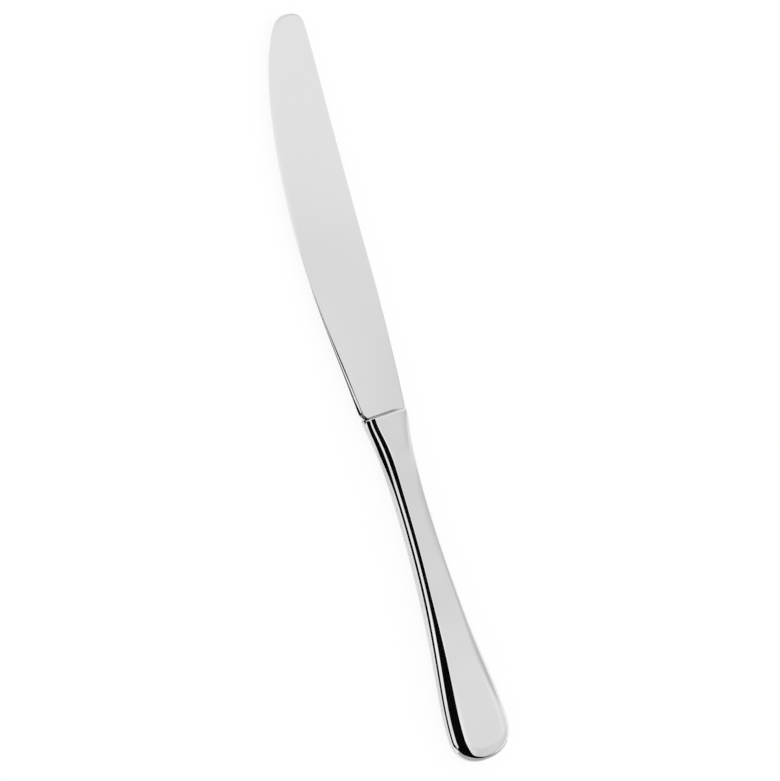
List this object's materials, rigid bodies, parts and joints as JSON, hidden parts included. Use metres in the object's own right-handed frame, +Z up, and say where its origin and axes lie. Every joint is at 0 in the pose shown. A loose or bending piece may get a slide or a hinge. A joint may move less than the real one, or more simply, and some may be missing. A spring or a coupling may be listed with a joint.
{
  "type": "table knife",
  "caption": "Polished steel table knife with a round-tipped blade and a hollow waisted handle that widens to a rounded butt.",
  "frame": {"origin": "under the middle of the knife's box, on the surface that the knife lies on", "axes": "+Y along the knife towards the tip, +X across it towards the spine, +Z up through its thickness, with the pictured side up"},
  "size_m": [0.0236, 0.2343, 0.0082],
  "materials": {
    "blade_steel": "polished",
    "handle_steel": "polished",
    "braze": "satin",
    "collar_steel": "satin",
    "cement": "matte",
    "fill": "matte"
  },
  "bodies": {
    "root": {"blade": "blade_steel", "handle_shell_upper": "handle_steel", "handle_shell_lower": "handle_steel", "seam_braze": "braze", "mouth_collar": "collar_steel", "tang_cement": "cement", "handle_fill": "fill"}
  },
  "joints": []
}
